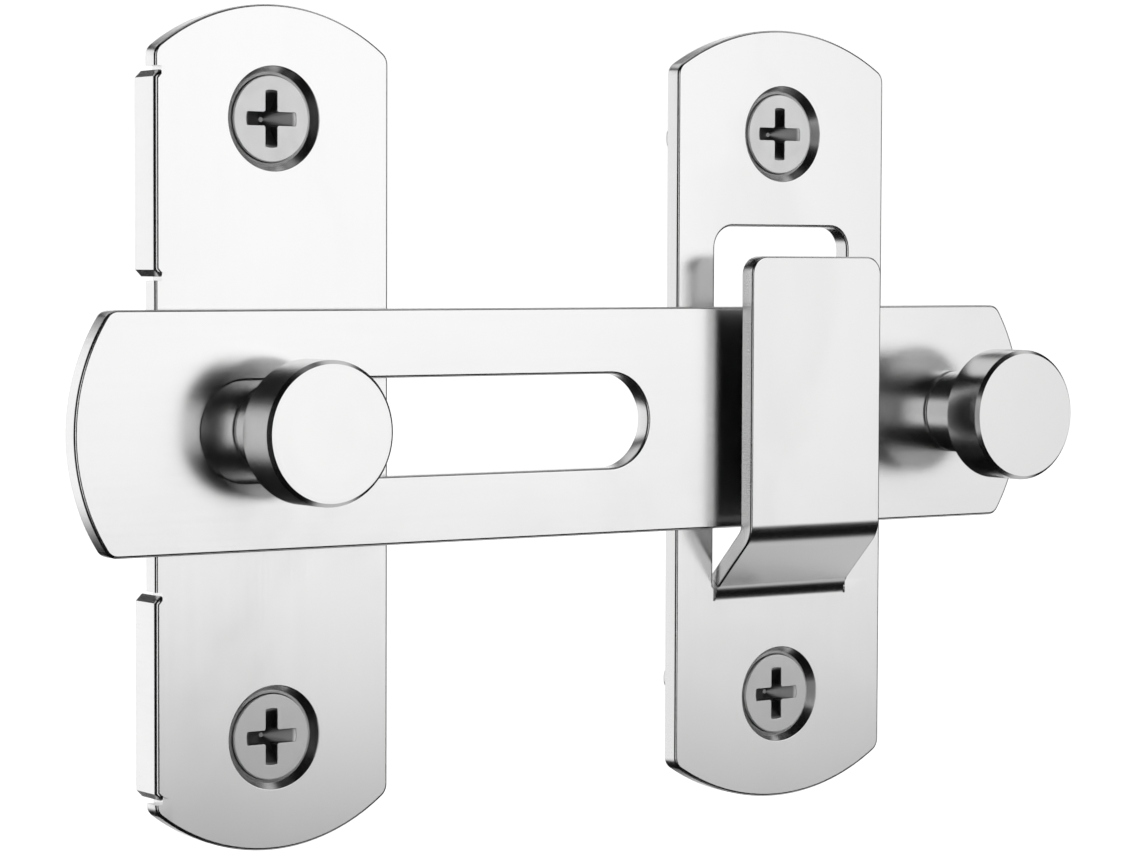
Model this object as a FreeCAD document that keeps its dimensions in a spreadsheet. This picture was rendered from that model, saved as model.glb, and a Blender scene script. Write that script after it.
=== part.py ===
"""Toggle bolt latch: a slotted swing bar on a base plate, caught by a hook lanced from a keeper plate.

Frame: +Z is up and -Y faces the user. The origin is on the pivot axis, in the mounting plane that the
backs of both plates lie in. Lengths are in millimetres.
"""

import FreeCAD
import Part
import Sketcher
import os
from math import pi


# ---------------------------------------------------------------- driving dimensions

SIZES = {
    # sheet metal
    "sheet": 2.0,                 # thickness of the bar, both plates and the hook
    "edge_round": 0.3,            # rounding of the front edges
    "corner_round": 1.6,          # rounding of the outline's corners
    "plate_height": 88.0,
    # base plate
    "base_width": 28.0,
    "base_end_radius": 22.0,      # radius of the curved top and bottom ends
    "lip_start": 16.3,            # the two lips run from here to lip_end, above and below their middle
    "lip_end": 37.3,
    "lip_drop": 0.45,             # the middle of the pair sits this far below the plate's centre
    "lip_reach": 2.4,             # how far a lip stands behind the mounting plane
    "lip_bend": 0.45,
    "lip_end_round": 0.7,
    "relief_depth": 0.8,          # the notch cut at each end of a lip
    "relief_height": 0.4,
    # keeper plate and its hook
    "keeper_offset": 67.5,        # pivot axis to the keeper's centre line
    "keeper_width": 30.0,
    "keeper_end_radius": 26.5,
    "window_width": 19.4,
    "window_top": 21.6,
    "window_foot": 20.95,
    "window_round": 2.5,
    "hook_width": 18.8,
    "hook_top": 18.2,
    "hook_gap": 4.5,              # front of the keeper plate to the back of the hook
    "hook_foot": 19.9,            # where the hook's slope leaves the plate, below the centre
    "hook_root": 23.0,
    "hook_round": 2.0,
    "bend_upper_front": 3.5,
    "bend_upper_back": 1.5,
    "bend_lower_front": 2.5,
    "bend_lower_back": 4.5,
    # swing bar
    "bar_gap": 0.15,              # base plate to the bar
    "bar_height": 25.0,
    "bar_length": 127.0,
    "bar_tail": 24.3,             # pivot axis to the bar's blunt end
    "bar_end_radius": 21.3,
    "slot_width": 10.4,
    "slot_length": 56.7,
    "slot_tail": 9.8,             # pivot axis to the slot's nearer end
    # knobs, which differ only in the length of the neck
    "knob_offset": 92.3,          # pivot axis to the pull knob
    "head_radius": 7.5,
    "head_height": 5.5,
    "head_round": 0.4,
    "neck_radius": 4.8,
    "pivot_neck": 6.0,
    "pull_neck": 6.6,
    "tenon_radius": 3.0,
    "rivet_mouth": 3.8,           # the tenon's hole opens out to this at the back of the sheet
    "rivet_radius": 3.7,          # the tenon's peened end
    "rivet_depth": 0.9,
    "rivet_sunk": 0.1,            # the peened end stops just short of the back of the sheet
    "pivot_gap": 0.05,            # running clearance of the pivot knob's tenon in the base plate
    "rivet_gap": 0.01,            # the pull knob's tenon is tight in the bar
    # screws, number 10 countersunk
    "screw_offset": 32.2,         # above and below the centre
    "sink_diameter": 10.9,
    "hole_diameter": 7.0,
    "sink_angle": 90.0,
    "screw_sunk": 0.55,           # the head's face below the front of the plate
    "screw_head_radius": 4.5,
    "screw_land": 0.3,
    "screw_head_round": 0.2,
    "screw_radius": 2.4,
    "screw_length": 20.0,
    "screw_point": 3.6,
    "recess_span": 6.0,
    "recess_arm": 1.4,
    "recess_depth": 1.3,
    "recess_taper": 8.0,
    "pit_radius": 1.3,
    "pit_depth": 2.2,
}

SHEET_NAME = "params"
TOLERANCE = 1e-4


class Size:
    """A length that is both a number, to draw with, and an expression, to bind a constraint to."""

    def __init__(self, value, text):
        self.value = float(value)
        self.text = text

    @staticmethod
    def of(other):
        return other if isinstance(other, Size) else Size(other, str(other))

    def join(self, other, sign, value):
        return Size(value, f"({self.text} {sign} {Size.of(other).text})")

    def __add__(self, other):
        return self.join(other, "+", self.value + Size.of(other).value)

    def __sub__(self, other):
        return self.join(other, "-", self.value - Size.of(other).value)

    def __mul__(self, other):
        return self.join(other, "*", self.value * Size.of(other).value)

    def __truediv__(self, other):
        return self.join(other, "/", self.value / Size.of(other).value)

    def __neg__(self):
        return Size(-self.value, f"(0 - {self.text})")


def size(name):
    return Size(SIZES[name], f"{SHEET_NAME}.{name}")


ZERO = Size(0, "0")
DIAGONAL = Size(2**0.5, "sqrt(2)")    # of a unit square


def write_spreadsheet(doc):
    sheet = doc.addObject("Spreadsheet::Sheet", SHEET_NAME)
    for row, (name, value) in enumerate(SIZES.items(), start=1):
        sheet.set(f"A{row}", name)
        sheet.set(f"B{row}", str(value))
        sheet.setAlias(f"B{row}", name)
    doc.recompute()


# ---------------------------------------------------------------- sketches


def origin_feature(body, role):
    for feature in body.Origin.OriginFeatures:
        if feature.Role == role:
            return feature
    raise LookupError(role)


def new_sketch(body, name, plane, offset=None, across=None):
    """A sketch on one of the body's own origin planes, moved offset along its normal and across in X."""
    sketch = body.newObject("Sketcher::SketchObject", name)
    sketch.AttachmentSupport = [(origin_feature(body, plane), "")]
    sketch.MapMode = "FlatFace"
    if offset is not None:
        sketch.setExpression("AttachmentOffset.Base.z", offset.text)
    if across is not None:
        sketch.setExpression("AttachmentOffset.Base.x", across.text)
    return sketch


def constrain(sketch, *values):
    return sketch.addConstraint(Sketcher.Constraint(*values))


def set_radius(sketch, geometry, radius):
    number = constrain(sketch, "Radius", geometry, radius.value)
    sketch.setExpression(f"Constraints[{number}]", radius.text)


def pin_point(sketch, geometry, vertex, place):
    """Holds one vertex at place, given as two sizes."""
    for kind, axis, coordinate in (("DistanceX", -2, place[0]), ("DistanceY", -1, place[1])):
        if coordinate.value == 0:
            constrain(sketch, "PointOnObject", geometry, vertex, axis)
            continue
        number = constrain(sketch, kind, -1, 1, geometry, vertex, coordinate.value)
        sketch.setExpression(f"Constraints[{number}]", coordinate.text)


def vector(place):
    return FreeCAD.Vector(place[0].value, place[1].value, 0)


def arc_through(start, end, radius):
    """The short arc from start to end that bulges to the right of the line from start to end."""
    a, b = vector(start), vector(end)
    chord = b - a
    outward = FreeCAD.Vector(chord.y, -chord.x, 0)
    outward.normalize()
    half = chord.Length / 2
    sagitta = radius.value - (radius.value**2 - half**2) ** 0.5
    middle = (a + b) * 0.5 + outward * sagitta
    return Part.Arc(a, middle, b)


def draw_outline(sketch, corners, radii=None):
    """A closed outline through corners, anticlockwise. radii gives the side after a corner an arc."""
    radii = radii or {}
    first = sketch.GeometryCount
    count = len(corners)
    for i, start in enumerate(corners):
        end = corners[(i + 1) % count]
        if i in radii:
            sketch.addGeometry(arc_through(start, end, radii[i]), False)
        else:
            sketch.addGeometry(Part.LineSegment(vector(start), vector(end)), False)
    starts, ends = [], []
    for i, start in enumerate(corners):
        near = (sketch.getPoint(first + i, 1) - vector(start)).Length < TOLERANCE
        starts.append(1 if near else 2)
        ends.append(2 if near else 1)
    for i in range(count):
        after = (i + 1) % count
        constrain(sketch, "Coincident", first + i, ends[i], first + after, starts[after])
    for i, start in enumerate(corners):
        pin_point(sketch, first + i, starts[i], start)
    for i, radius in radii.items():
        set_radius(sketch, first + i, radius)


def draw_rectangle(sketch, left, bottom, right, top):
    draw_outline(sketch, [(left, bottom), (right, bottom), (right, top), (left, top)])


def draw_circle(sketch, centre, radius):
    number = sketch.GeometryCount
    sketch.addGeometry(Part.Circle(vector(centre), FreeCAD.Vector(0, 0, 1), radius.value), False)
    pin_point(sketch, number, 3, centre)
    set_radius(sketch, number, radius)


def draw_slot(sketch, left, right, radius):
    """A slot along the sketch's X axis: two half circles and the two lines that join them."""
    first = sketch.GeometryCount
    normal = FreeCAD.Vector(0, 0, 1)
    quarter = pi / 2
    ends = ((left + radius, quarter), (right - radius, -quarter))
    for x, angle in ends:
        circle = Part.Circle(vector((x, ZERO)), normal, radius.value)
        sketch.addGeometry(Part.ArcOfCircle(circle, angle, angle + 2 * quarter), False)
    for side in (1, -1):
        start = FreeCAD.Vector(ends[0][0].value, side * radius.value, 0)
        end = FreeCAD.Vector(ends[1][0].value, side * radius.value, 0)
        sketch.addGeometry(Part.LineSegment(start, end), False)
    left_arc, right_arc, upper, lower = range(first, first + 4)
    for line, left_tip, right_tip in ((upper, 1, 2), (lower, 2, 1)):
        constrain(sketch, "Coincident", line, 1, left_arc, left_tip)
        constrain(sketch, "Coincident", line, 2, right_arc, right_tip)
    for arc, (x, _) in zip((left_arc, right_arc), ends):
        pin_point(sketch, arc, 3, (x, ZERO))
        set_radius(sketch, arc, radius)
        constrain(sketch, "Vertical", arc, 1, arc, 3)
        constrain(sketch, "Vertical", arc, 2, arc, 3)


# ---------------------------------------------------------------- features


def bind(feature, property_name, length):
    feature.setExpression(property_name, length.text)


def checked(body, feature, grows):
    """Recomputes and makes sure that the feature added or took away material."""
    before = body.Shape.Volume if body.Shape and not body.Shape.isNull() else 0.0
    body.Document.recompute()
    after = body.Shape.Volume
    changed = after - before if grows else before - after
    if changed < TOLERANCE:
        raise ValueError(f"{body.Label} {feature.Name}: volume went from {before:.3f} to {after:.3f}")
    return feature


def pad(body, name, sketch, length, backwards=False, both_ways=False):
    feature = body.newObject("PartDesign::Pad", name)
    feature.Profile = sketch
    bind(feature, "Length", length)
    feature.Reversed = backwards
    if both_ways:
        feature.SideType = "Symmetric"
    return checked(body, feature, True)


def pocket(body, name, sketch, depth, backwards=False, taper=None):
    feature = body.newObject("PartDesign::Pocket", name)
    feature.Profile = sketch
    bind(feature, "Length", depth)
    feature.Reversed = backwards
    if taper is not None:
        bind(feature, "TaperAngle", taper)
    return checked(body, feature, False)


def turn(body, name, sketch):
    """Turns a half section about the sketch's own vertical axis."""
    feature = body.newObject("PartDesign::Revolution", name)
    feature.Profile = sketch
    feature.ReferenceAxis = (sketch, ["V_Axis"])
    feature.Angle = 360
    return checked(body, feature, True)


def groove(body, name, sketch):
    """Cuts away what a half section sweeps about the sketch's own vertical axis."""
    feature = body.newObject("PartDesign::Groove", name)
    feature.Profile = sketch
    feature.ReferenceAxis = (sketch, ["V_Axis"])
    feature.Angle = 360
    return checked(body, feature, False)


def countersunk_holes(body, name, sketch):
    """A countersunk clearance hole through the sheet at each circle of the sketch."""
    body.Document.recompute()
    feature = body.newObject("PartDesign::Hole", name)
    feature.Profile = sketch
    feature.ThreadType = "None"
    feature.DepthType = "ThroughAll"
    feature.HoleCutType = "Countersink"
    feature.HoleCutCustomValues = True
    bind(feature, "Diameter", size("hole_diameter"))
    bind(feature, "HoleCutDiameter", size("sink_diameter"))
    bind(feature, "HoleCutCountersinkAngle", size("sink_angle"))
    return checked(body, feature, False)


def round_edges(body, name, radius, wanted):
    """Fillets every edge of the body so far for which wanted(edge) is true."""
    base = body.Tip
    names = [f"Edge{i}" for i, edge in enumerate(base.Shape.Edges, start=1) if wanted(edge)]
    if not names:
        raise LookupError(f"{body.Label}: no edge for {name}")
    feature = body.newObject("PartDesign::Fillet", name)
    feature.Base = (base, names)
    bind(feature, "Radius", radius)
    body.Document.recompute()
    if feature.Shape.isNull():
        raise ValueError(f"{body.Label}: {name} could not be rounded")
    return feature


def same(a, b):
    return abs(a - b) < 1e-3


def is_straight_along(edge, axis):
    if edge.Curve.TypeId != "Part::GeomLine":
        return False
    a, b = edge.Vertexes[0].Point, edge.Vertexes[-1].Point
    return all(same(getattr(a, other), getattr(b, other)) for other in "xyz" if other != axis)


def lies_in_plane(edge, y):
    """True when the whole edge is in the plane at this Y."""
    box = edge.BoundBox
    return same(box.YMin, y) and same(box.YMax, y)


def new_body(doc, label, place=None):
    body = doc.addObject("PartDesign::Body", label)
    body.Label = label
    for axis, coordinate in zip("xyz", place or ()):
        if coordinate.value != 0:
            bind(body, f"Placement.Base.{axis}", coordinate)
    return body


# ---------------------------------------------------------------- sheet metal


def draw_blank(sketch, ends, half, end_radius, upright):
    """A strip between two ends, each bulging as an arc. ends are measured to the arcs' tips."""
    sagitta = end_radius.value - (end_radius.value**2 - half.value**2) ** 0.5
    text = f"({end_radius.text} - sqrt({end_radius.text}^2 - {half.text}^2))"
    low = ends[0] + Size(sagitta, text)
    high = ends[1] - Size(sagitta, text)
    if upright:
        corners = [(-half, low), (half, low), (half, high), (-half, high)]
        draw_outline(sketch, corners, {0: end_radius, 2: end_radius})
    else:
        corners = [(low, -half), (high, -half), (high, half), (low, half)]
        draw_outline(sketch, corners, {1: end_radius, 3: end_radius})


def plate_blank(body, width, end_radius):
    """The flat plate, with its back on the mounting plane and its front at -sheet in Y."""
    outline = new_sketch(body, "plate_outline", "XZ_Plane")
    half_height = size("plate_height") / 2
    draw_blank(outline, (-half_height, half_height), width / 2, end_radius, upright=True)
    pad(body, "plate", outline, size("sheet"))
    round_edges(body, "corners", size("corner_round"), lambda edge: is_straight_along(edge, "y"))


def screw_holes(body):
    marks = new_sketch(body, "screw_marks", "XZ_Plane", size("sheet"))
    for height in (size("screw_offset"), -size("screw_offset")):
        draw_circle(marks, (ZERO, height), size("hole_diameter") / 2)
    countersunk_holes(body, "screw_holes", marks)


def tenon_hole(body, centre, back, gap):
    """A hole for a knob's tenon, opened out at the back of the sheet for the peened end."""
    hole = size("tenon_radius") + gap
    mouth = size("rivet_mouth") + gap
    section = new_sketch(body, "tenon_section", "XY_Plane", across=centre)
    draw_outline(
        section,
        [
            (ZERO, back - size("sheet")),
            (hole, back - size("sheet")),
            (hole, back - size("rivet_depth")),
            (mouth, back),
            (ZERO, back),
        ],
    )
    groove(body, "tenon_hole", section)


def front_rim(front, skip=lambda box: False):
    """Picks the edges round the front face, other than those of round holes."""

    def wanted(edge):
        box = edge.BoundBox
        in_front = same(box.YMin, front) and same(box.YMax, front)
        return in_front and not edge.Closed and not skip(box)

    return wanted


# ---------------------------------------------------------------- base plate


def lip_spans():
    """The height at which each lip starts and ends, the lower number first."""
    start, end, drop = size("lip_start"), size("lip_end"), size("lip_drop")
    return (start - drop, end - drop), (-end - drop, -start - drop)


def add_lips(body):
    """Two lips along the plate's outer side, turned back towards the door."""
    half = size("base_width") / 2
    lips = new_sketch(body, "lip_outlines", "XZ_Plane")
    for low, high in lip_spans():
        draw_rectangle(lips, -half, low, size("sheet") - half, high)
    pad(body, "lips", lips, size("lip_reach"), backwards=True)


def cut_reliefs(body):
    """A small notch at each end of each lip, which lets the lip bend without tearing the plate."""
    half = size("base_width") / 2
    height = size("relief_height")
    notches = new_sketch(body, "relief_outlines", "XZ_Plane")
    for low, high in lip_spans():
        for bottom in (low - height, high):
            draw_rectangle(notches, -half, bottom, size("relief_depth") - half, bottom + height)
    pocket(body, "reliefs", notches, size("sheet"), backwards=True)


def soften_base(body):
    side = -SIZES["base_width"] / 2
    front = -SIZES["sheet"]
    spans = [(low.value, high.value) for low, high in lip_spans()]

    def is_lip_end(edge):
        box = edge.BoundBox
        at_end = any(same(box.ZMin, end) for span in spans for end in span)
        return is_straight_along(edge, "y") and same(box.XMin, side) and at_end and box.YMax > 1

    def is_lip_bend(edge):
        box = edge.BoundBox
        beside_lip = any(low < box.Center.z < high for low, high in spans)
        at_corner = same(box.XMin, side) and same(box.YMax, front)
        return is_straight_along(edge, "z") and at_corner and beside_lip

    def is_notch_or_bend(box):
        near_side = box.XMax < side + SIZES["relief_depth"] + 0.01
        on_side = same(box.XMax, side)
        return near_side and not on_side

    round_edges(body, "lip_bends", size("lip_bend"), is_lip_bend)
    round_edges(body, "lip_ends", size("lip_end_round"), is_lip_end)
    round_edges(body, "front_edges", size("edge_round"), front_rim(front, is_notch_or_bend))


def make_base_plate(doc):
    body = new_body(doc, "base_plate")
    plate_blank(body, size("base_width"), size("base_end_radius"))
    add_lips(body)
    cut_reliefs(body)
    soften_base(body)
    screw_holes(body)
    tenon_hole(body, ZERO, ZERO, size("pivot_gap"))
    return body


# ---------------------------------------------------------------- keeper plate


def cut_window(body):
    """The opening that the hook is lanced from."""
    half = size("window_width") / 2
    top = size("window_top")
    window = new_sketch(body, "window_outline", "XZ_Plane")
    draw_rectangle(window, -half, -size("window_foot"), half, top)
    pocket(body, "window", window, size("sheet"), backwards=True)
    round_edges(
        body,
        "window_corners",
        size("window_round"),
        lambda edge: is_straight_along(edge, "y") and same(edge.BoundBox.ZMin, top.value),
    )


def add_hook(body):
    """A tongue of the plate, sloped out at 45 degrees and then turned up parallel to the plate."""
    sheet = size("sheet")
    back = -sheet - size("hook_gap")
    front = back - sheet
    run = size("hook_gap") + sheet
    foot = -size("hook_foot")
    heel = foot + sheet * (DIAGONAL - Size(1, "1"))
    top = size("hook_top")
    profile = new_sketch(body, "hook_profile", "YZ_Plane")
    draw_outline(
        profile,
        [
            (front, foot + run),
            (-sheet, foot),
            (-sheet, -size("hook_root")),
            (ZERO, -size("hook_root")),
            (ZERO, heel),
            (back, heel + run),
            (back, top),
            (front, top),
        ],
    )
    pad(body, "hook", profile, size("hook_width"), both_ways=True)
    bends = (
        ("bend_upper_front", front, foot + run),
        ("bend_upper_back", back, heel + run),
        ("bend_lower_front", -sheet, foot),
        ("bend_lower_back", ZERO, heel),
    )
    for name, y, z in bends:
        round_edges(body, name, size(name), is_cross_edge(y.value, z.value))
    round_edges(
        body,
        "hook_corners",
        size("hook_round"),
        lambda edge: is_straight_along(edge, "y") and same(edge.BoundBox.ZMin, top.value),
    )


def is_cross_edge(y, z):
    """Picks a straight edge along X at this Y and Z."""

    def wanted(edge):
        box = edge.BoundBox
        return is_straight_along(edge, "x") and same(box.YMin, y) and same(box.ZMin, z)

    return wanted


def make_keeper_plate(doc):
    body = new_body(doc, "keeper_plate", (size("keeper_offset"), ZERO, ZERO))
    plate_blank(body, size("keeper_width"), size("keeper_end_radius"))
    cut_window(body)
    round_edges(body, "front_edges", size("edge_round"), front_rim(-SIZES["sheet"], is_window_foot))
    add_hook(body)
    screw_holes(body)
    return body


def is_window_foot(box):
    """True for the window's lower edge, where the hook grows out of the plate."""
    return same(box.ZMax, -SIZES["window_foot"])


# ---------------------------------------------------------------- swing bar


def make_bolt_bar(doc):
    body = new_body(doc, "bolt_bar")
    back = size("sheet") + size("bar_gap")
    left = -size("bar_tail")
    outline = new_sketch(body, "bar_outline", "XZ_Plane", back)
    ends = (left, left + size("bar_length"))
    draw_blank(outline, ends, size("bar_height") / 2, size("bar_end_radius"), upright=False)
    pad(body, "bar", outline, size("sheet"))
    round_edges(body, "corners", size("corner_round"), lambda edge: is_straight_along(edge, "y"))

    slot = new_sketch(body, "slot_outline", "XZ_Plane", back)
    slot_left = -size("slot_tail")
    draw_slot(slot, slot_left, slot_left + size("slot_length"), size("slot_width") / 2)
    pocket(body, "slot", slot, size("sheet"), backwards=True)

    front = -(back + size("sheet")).value
    round_edges(body, "front_edges", size("edge_round"), front_rim(front))
    tenon_hole(body, size("knob_offset"), -back, size("rivet_gap"))
    return body


# ---------------------------------------------------------------- knobs


def make_knob(doc, label, centre, seat, neck, tenon):
    """A turned knob: head, neck, and a tenon peened over at the back. seat is the neck's foot in Y."""
    body = new_body(doc, label, (centre, ZERO, ZERO))
    under_head = seat - neck
    front = under_head - size("head_height")
    back = seat + tenon - size("rivet_sunk")
    section = new_sketch(body, "knob_section", "XY_Plane")
    draw_outline(
        section,
        [
            (ZERO, front),
            (size("head_radius"), front),
            (size("head_radius"), under_head),
            (size("neck_radius"), under_head),
            (size("neck_radius"), seat),
            (size("tenon_radius"), seat),
            (size("tenon_radius"), seat + tenon - size("rivet_depth")),
            (size("rivet_radius"), back),
            (ZERO, back),
        ],
    )
    turn(body, "knob", section)
    rim = SIZES["head_radius"]
    round_edges(body, "head_rims", size("head_round"), lambda edge: is_ring(edge, rim))
    return body


def is_ring(edge, radius):
    return edge.Closed and same(edge.BoundBox.XMax, radius) and edge.BoundBox.YLength < TOLERANCE * 10


def make_knobs(doc):
    sheet = size("sheet")
    plate_seat = -sheet - size("pivot_gap")
    bar_seat = -sheet * Size(2, "2") - size("bar_gap")
    return [
        make_knob(doc, "pivot_knob", ZERO, plate_seat, size("pivot_neck"), sheet + size("pivot_gap")),
        make_knob(doc, "pull_knob", size("knob_offset"), bar_seat, size("pull_neck"), sheet),
    ]


# ---------------------------------------------------------------- screws


def draw_cross(sketch, span, arm):
    """The outline of a cross recess, arms upright and level."""
    far, near = span / 2, arm / 2
    draw_outline(
        sketch,
        [
            (near, -near),
            (far, -near),
            (far, near),
            (near, near),
            (near, far),
            (-near, far),
            (-near, near),
            (-far, near),
            (-far, -near),
            (-near, -near),
            (-near, -far),
            (near, -far),
        ],
    )


def make_screw(doc, label, x, z):
    """A countersunk wood screw with a cross recess; the shank points away from the user."""
    body = new_body(doc, label, (x, ZERO, z))
    face = size("screw_sunk") - size("sheet")
    land = face + size("screw_land")
    cone = land + size("screw_head_radius") - size("screw_radius")
    tip = face + size("screw_length")
    section = new_sketch(body, "screw_section", "XY_Plane")
    draw_outline(
        section,
        [
            (ZERO, face),
            (size("screw_head_radius"), face),
            (size("screw_head_radius"), land),
            (size("screw_radius"), cone),
            (size("screw_radius"), tip - size("screw_point")),
            (ZERO, tip),
        ],
    )
    turn(body, "screw", section)
    round_edges(
        body,
        "head_edge",
        size("screw_head_round"),
        lambda edge: is_ring(edge, SIZES["screw_head_radius"]) and same(edge.BoundBox.YMax, face.value),
    )

    cross = new_sketch(body, "recess_outline", "XZ_Plane", -face)
    draw_cross(cross, size("recess_span"), size("recess_arm"))
    pocket(body, "recess", cross, size("recess_depth"), taper=-size("recess_taper"))

    pit = new_sketch(body, "pit_section", "XY_Plane")
    draw_outline(pit, [(ZERO, face), (size("pit_radius"), face), (ZERO, face + size("pit_depth"))])
    groove(body, "pit", pit)
    return body


def make_screws(doc):
    height = size("screw_offset")
    keeper = size("keeper_offset")
    return [
        make_screw(doc, "screw_base_upper", ZERO, height),
        make_screw(doc, "screw_base_lower", ZERO, -height),
        make_screw(doc, "screw_keeper_upper", keeper, height),
        make_screw(doc, "screw_keeper_lower", keeper, -height),
    ]


# ---------------------------------------------------------------- build and export


def check_document(doc):
    for item in doc.Objects:
        if "Invalid" in item.State or "Error" in item.State:
            raise ValueError(f"{item.Name}: {item.State}")


def export(body):
    shape = body.Shape
    if shape.isNull() or not shape.isValid() or len(shape.Solids) != 1:
        raise ValueError(f"{body.Label} isn't one valid solid")
    shape.exportStep(f"parts/{body.Label}.step")
    box = shape.optimalBoundingBox()
    extent = f"{box.XLength:.2f} x {box.YLength:.2f} x {box.ZLength:.2f}"
    print(f"{body.Label}: {shape.Volume:.1f} mm3, {extent} mm")


def main():
    doc = FreeCAD.newDocument("toggle_bolt_latch")
    write_spreadsheet(doc)
    bodies = [make_base_plate(doc), make_keeper_plate(doc), make_bolt_bar(doc)]
    bodies += make_knobs(doc)
    bodies += make_screws(doc)
    doc.recompute()
    check_document(doc)
    os.makedirs("parts", exist_ok=True)
    for body in bodies:
        export(body)


main()
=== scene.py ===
# %% [markdown]
# # A slotted bar latch in satin steel
# The latch has a base plate, a keeper plate with a hook, a flat bar that turns and slides on a
# knob, a second knob to pull it by, and four countersunk screws. All of it is steel, so nearly
# everything that shows is a reflection. The engineering model is loaded first as a fixed frame,
# and each part is then made again with soft edges and a proper finish in the same place.

# %% Load the frame
import math

import bmesh
import bpy
from mathutils import Matrix, Vector


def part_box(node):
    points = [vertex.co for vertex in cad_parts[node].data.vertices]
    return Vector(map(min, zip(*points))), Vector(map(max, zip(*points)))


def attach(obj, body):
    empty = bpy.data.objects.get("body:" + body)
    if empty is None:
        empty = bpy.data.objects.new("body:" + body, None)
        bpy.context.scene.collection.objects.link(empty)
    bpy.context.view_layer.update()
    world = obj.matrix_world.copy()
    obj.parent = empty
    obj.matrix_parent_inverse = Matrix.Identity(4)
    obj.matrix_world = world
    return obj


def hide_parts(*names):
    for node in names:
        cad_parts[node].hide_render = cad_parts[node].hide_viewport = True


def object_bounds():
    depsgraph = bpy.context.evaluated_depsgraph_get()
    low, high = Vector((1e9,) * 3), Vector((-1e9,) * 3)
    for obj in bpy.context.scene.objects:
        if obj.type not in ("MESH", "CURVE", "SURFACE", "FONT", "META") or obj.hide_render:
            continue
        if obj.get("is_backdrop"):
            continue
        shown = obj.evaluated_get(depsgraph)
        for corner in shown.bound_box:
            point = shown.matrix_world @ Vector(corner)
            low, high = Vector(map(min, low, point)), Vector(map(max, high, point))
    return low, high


MM = 0.001
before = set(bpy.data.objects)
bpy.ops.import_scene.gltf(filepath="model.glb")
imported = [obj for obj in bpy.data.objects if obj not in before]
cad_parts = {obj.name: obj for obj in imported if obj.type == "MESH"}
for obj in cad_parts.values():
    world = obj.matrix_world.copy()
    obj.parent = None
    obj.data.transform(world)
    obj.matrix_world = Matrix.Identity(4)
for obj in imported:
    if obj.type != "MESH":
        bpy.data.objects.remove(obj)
scene = bpy.context.scene
bpy.context.view_layer.update()

# %% [markdown]
# ## Picking edges and faces in code
# By hand a maker clicks on an edge. In a script an edge is found by where it is or which way it
# faces, and these two helpers open a piece for editing and select what passes a test. Everything
# else stays deselected, because an operator acts on all that is selected.


# %% Open a piece and pick from it
def open_piece(piece):
    if bpy.context.mode != "OBJECT":
        bpy.ops.object.mode_set(mode="OBJECT")
    bpy.ops.object.select_all(action="DESELECT")
    piece.select_set(True)
    bpy.context.view_layer.objects.active = piece
    bpy.ops.object.mode_set(mode="EDIT")


def pick(piece, kind, test=lambda item: True):
    bpy.ops.mesh.select_mode(type=kind)
    bpy.ops.mesh.select_all(action="DESELECT")
    shape = bmesh.from_edit_mesh(piece.data)
    items = {"VERT": shape.verts, "EDGE": shape.edges, "FACE": shape.faces}[kind]
    chosen = [item for item in items if test(item)]
    for item in chosen:
        item.select_set(True)
    shape.select_flush_mode()
    bmesh.update_edit_mesh(piece.data)
    return len(chosen)


def close_piece(piece):
    pick(piece, "VERT")
    bpy.ops.mesh.remove_doubles(threshold=0.0005 * MM)
    bpy.ops.mesh.normals_make_consistent(inside=False)
    bpy.ops.object.mode_set(mode="OBJECT")


def near(value, target):
    return abs(value - target) < 0.004 * MM


def between(edge, axis, low, high):
    return all(low <= vert.co[axis] <= high for vert in edge.verts)


# %% [markdown]
# ## Primitives at their size and place
# A block and a rod are the two starting shapes and the two cutting tools. Their size and place
# are applied at once, so the numbers of the mesh are the numbers of the drawing. A rod lies
# along Y, which is the way every hole and screw of the latch runs. Given a second radius it is
# a cone.


# %% Block and rod
def settle(name):
    piece = bpy.context.object
    piece.name = piece.data.name = name
    bpy.ops.object.transform_apply(location=True, rotation=True, scale=True)
    return piece


def block(name, low, high):
    low, high = Vector(low) * MM, Vector(high) * MM
    bpy.ops.object.select_all(action="DESELECT")
    bpy.ops.mesh.primitive_cube_add(size=1, location=(low + high) / 2, scale=high - low)
    return settle(name)


def rod(name, x, z, front, back, radius, back_radius=None):
    bpy.ops.object.select_all(action="DESELECT")
    bpy.ops.mesh.primitive_cone_add(
        vertices=128,
        radius1=radius * MM,
        radius2=(radius if back_radius is None else back_radius) * MM,
        depth=(back - front) * MM,
        location=(x * MM, (front + back) / 2 * MM, z * MM),
        rotation=(-math.pi / 2, 0, 0),
    )
    return settle(name)


def apply_modifier(piece, kind, **settings):
    modifier = piece.modifiers.new(kind.lower(), kind)
    for key, value in settings.items():
        setattr(modifier, key, value)
    bpy.ops.object.select_all(action="DESELECT")
    piece.select_set(True)
    bpy.context.view_layer.objects.active = piece
    bpy.ops.object.modifier_apply(modifier=modifier.name)


def cut(piece, tool, how="DIFFERENCE"):
    apply_modifier(piece, "BOOLEAN", operation=how, solver="EXACT", object=tool)
    bpy.data.objects.remove(tool, do_unlink=True)


# %% [markdown]
# ## The outline of a strip
# Both plates and the bar are blanked from sheet with the same outline: straight sides, ends that
# are shallow arcs, and small rounds where the two meet. It could be traced with a curve, but
# Spin draws true arcs. A plane gives the two straight sides, its ends are removed, and a corner
# point is spun round one centre after another until it reaches the other side. The strip is then
# bisected down its middle. Every hole comes to lie across that line, so no face ever has a hole
# inside it, and such faces stay clean under a bevel.


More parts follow.
